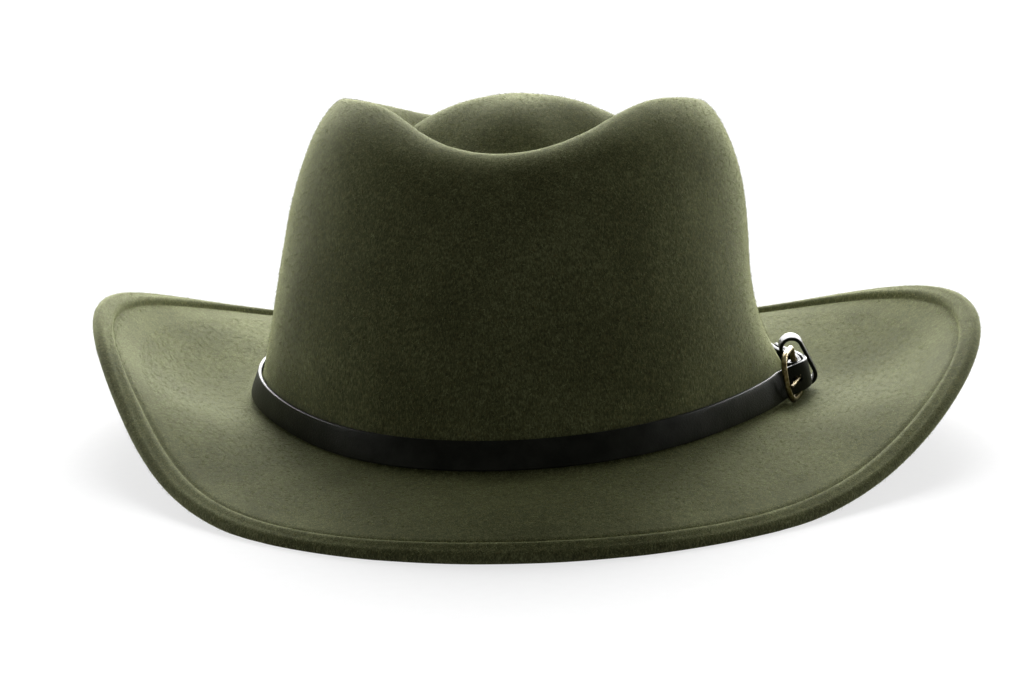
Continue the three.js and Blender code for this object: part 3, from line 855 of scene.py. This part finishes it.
def basis(origin, first, second, third):
    """Matrix whose axes are the three directions, from millimetres to the row frame."""
    matrix = Matrix([[first[i], second[i], third[i], origin[i]] for i in range(3)] + [[0, 0, 0, 1]])
    return PLACED @ matrix


def keeper_piece():
    middle, wall_up, wall_out, _ = (part[0] for part in band_axes(KEEPER["azimuth"]))
    _, up, out, _ = (part[0] for part in leaned_axes(KEEPER["azimuth"], KEEPER["lean"]))
    depth, height = KEEPER["depth"], KEEPER["height"]
    keeper = rounded_loop(
        "strap_keeper",
        depth,
        height,
        [
            (KEEPER["top_corner"], 14, lambda co: co.y > height / 2 - 0.01),
            (KEEPER["low_corner"], 10, lambda co: co.y < -height / 2 + 0.01),
        ],
    )
    bpy.ops.object.mode_set(mode="EDIT")
    bpy.ops.mesh.select_all(action="SELECT")
    bpy.ops.transform.translate(value=(0, 0, -KEEPER["width"] / 2))
    bpy.ops.mesh.extrude_edges_move(TRANSFORM_OT_translate={"value": (0, 0, KEEPER["width"])})
    bpy.ops.mesh.select_all(action="SELECT")
    bpy.ops.mesh.normals_make_consistent(inside=False)
    bpy.ops.object.mode_set(mode="OBJECT")
    add_modifier(keeper, "SOLIDIFY", thickness=KEEPER["thickness"], offset=0, use_even_offset=True)
    rounding = {"width": KEEPER["edge"], "segments": 4}
    add_modifier(keeper, "BEVEL", limit_method="ANGLE", angle_limit=math.radians(50), **rounding)
    near_side = KEEPER["standoff"] + KEEPER["thickness"] / 2
    foot = middle + wall_out * near_side + wall_up * (KEEPER["lift"] - height / 2)
    origin = foot + up * (height / 2)
    settle(keeper, basis(origin, out, up, np.cross(out, up)))
    clean(keeper, 1e-6)
    smooth(keeper, 40)
    return keeper


keeper = keeper_piece()
dress(keeper, leather, "black_leather", "keeper_loop")


# Buckle


def wire(piece, radius, resolution, taper=None):
    """Turns an outline of edges into round wire, of the share of the radius that taper gives for x."""
    pick(piece)
    bpy.ops.object.convert(target="CURVE")
    curve = piece.data
    curve.dimensions = "3D"
    curve.bevel_depth = radius
    curve.bevel_resolution = resolution
    curve.use_fill_caps = True
    if taper is not None:
        for point in curve.splines[0].points:
            point.radius = taper(point.co.x)
    bpy.ops.object.convert(target="MESH")


def frame_piece():
    rear, forward, up, out, length = buckle_axes()
    ring = rounded_loop(
        "brass_frame",
        length,
        FRAME["height"],
        [
            (FRAME["rear_corner"], 8, lambda co: co.x < 0.01),
            (FRAME["front_corner"], 20, lambda co: co.x > length - 0.01),
        ],
    )
    wire(ring, FRAME["wire"], 6)
    settle(ring, basis(rear + up * FRAME["lift"], forward, up, out))
    clean(ring, 1e-7)
    smooth(ring)
    return ring


def prong_piece():
    """The prong: an eye round the rear bar, and a pin over the leather onto the front bar."""
    rear, forward, _, out, length = buckle_axes()
    eye = WIRE_RADIUS + PRONG["eye_gaps"] * GAP + PRONG["radius"]
    over = WIRE_RADIUS + PRONG["over_gaps"] * GAP + PRONG["radius"]
    open_from, open_to = (math.radians(angle) for angle in PRONG["eye_open"])
    deselect()
    bpy.ops.mesh.primitive_circle_add(vertices=36, radius=eye, location=(0, 0, 0))
    pin = bpy.context.object
    pin.name = "brass_prong"
    bpy.ops.object.mode_set(mode="EDIT")
    select_vertices(pin, lambda co: open_from < math.atan2(co.y, co.x) < open_to)
    bpy.ops.mesh.delete(type="VERT")
    here = max((Vector(vertex.co) for vertex in bmesh.from_edit_mesh(pin.data).verts), key=lambda co: co.y)
    select_vertices(pin, lambda co: co == here)
    path = [(x, over) for x in (*PRONG["rows"], length)]
    path.append((length + PRONG["overhang"], over - PRONG["droop"]))
    for x, y in path:
        step = Vector((x, y, 0)) - here
        bpy.ops.mesh.extrude_vertices_move(TRANSFORM_OT_translate={"value": tuple(step)})
        here = Vector((x, y, 0))
    bpy.ops.object.mode_set(mode="OBJECT")
    start, thinnest = PRONG["taper_from"], PRONG["tip_radius"] / PRONG["radius"]
    wire(pin, PRONG["radius"], 5, lambda x: np.interp(x, (start, length), (1, thinnest)))
    settle(pin, basis(rear, forward, out, np.cross(forward, out)))
    clean(pin, 1e-7)
    smooth(pin, 50)
    return pin


brass = aged_brass()
buckle = frame_piece()
dress(buckle, brass, "antique_brass", "buckle_frame")
prong = prong_piece()
dress(prong, brass, "antique_brass", "buckle_prong")


# Studio


def camera():
    azimuth, elevation, roll = (math.radians(CAMERA[name]) for name in ("azimuth", "elevation", "roll"))
    back = Vector(
        (
            math.sin(azimuth) * math.cos(elevation),
            -math.cos(azimuth) * math.cos(elevation),
            math.sin(elevation),
        )
    )
    right = Vector((math.cos(azimuth), math.sin(azimuth), 0))
    up = back.cross(right)
    target = right * CAMERA["target_right"] + Vector((0, 0, CAMERA["target_up"]))
    eye = target + back * CAMERA["distance"]
    x_axis = right * math.cos(roll) + up * math.sin(roll)
    y_axis = up * math.cos(roll) - right * math.sin(roll)
    turned = Matrix([[x_axis[i], y_axis[i], back[i]] for i in range(3)]).to_4x4()
    data = bpy.data.cameras.new("camera")
    data.lens = CAMERA["lens"]
    data.sensor_width = CAMERA["sensor"]
    data.clip_end = 100
    lens = bpy.data.objects.new("camera", data)
    bpy.context.scene.collection.objects.link(lens)
    lens.matrix_world = Matrix.Translation(PLACED @ eye) @ turned
    bpy.context.scene.camera = lens


def studio_world():
    """White all round to the eye; as light, a bright wall behind the hat and a weak fill elsewhere."""
    world = bpy.data.worlds.new("studio")
    world.use_nodes = True
    graph = Graph(world.node_tree)
    direction = graph.node("ShaderNodeTexCoord", {}, {}, "Generated")
    back, up = (graph.node("ShaderNodeSeparateXYZ", {}, {"Vector": direction}, axis) for axis in ("Y", "Z"))
    wall = graph.range(back, *WALL_LIGHT["spread"]) * graph.range(up, *WALL_LIGHT["foot"])
    wall = wall * graph.range(up, *WALL_LIGHT["top"])
    rise = math.radians(HIGH_LIGHT["elevation"])
    high = graph.range(math.cos(rise) * back + math.sin(rise) * up, *HIGH_LIGHT["spread"])
    fill = FILL_LIGHT["front"] + FILL_LIGHT["above"] * graph.range(up, 0.2, 1)
    light = fill + WALL_LIGHT["strength"] * wall + HIGH_LIGHT["strength"] * high
    to_eye = graph.node("ShaderNodeLightPath", {}, {}, "Is Camera Ray")
    settings = {"data_type": "FLOAT"}
    strength = graph.node("ShaderNodeMix", settings, {0: to_eye, 2: light, 3: 1.0})
    graph.feed(graph.tree.nodes["Background"], {"Color": (1, 1, 1, 1), "Strength": strength})
    bpy.context.scene.world = world


def studio_floor():
    """White table: it takes the hat's soft shadow, and throws no light back on the felt."""
    deselect()
    bpy.ops.mesh.primitive_plane_add(size=5, location=(0, 0, 0))
    floor = bpy.context.object
    floor.name = "studio_floor"
    floor.visible_diffuse = False
    paper = Finish("white_paper", Roughness=0.9, Specular_IOR_Level=0.0, Emission_Strength=FLOOR["glow"])
    tooth = paper.noise(paper.coordinates(), 4, 3)
    tint = paper.ramp(tooth, [(0.3, (*[FLOOR["albedo"]] * 3, 1)), (0.7, (*[FLOOR["albedo"] + 0.01] * 3, 1))])
    floor.data.materials.append(paper.give(Base_Color=tint, Emission_Color=(1, 1, 1, 1)))


def studio():
    studio_world()
    studio_floor()
    scene = bpy.context.scene
    scene.view_settings.view_transform = "Standard"
    scene.view_settings.look = "None"


camera()
studio()

bpy.context.view_layer.update()
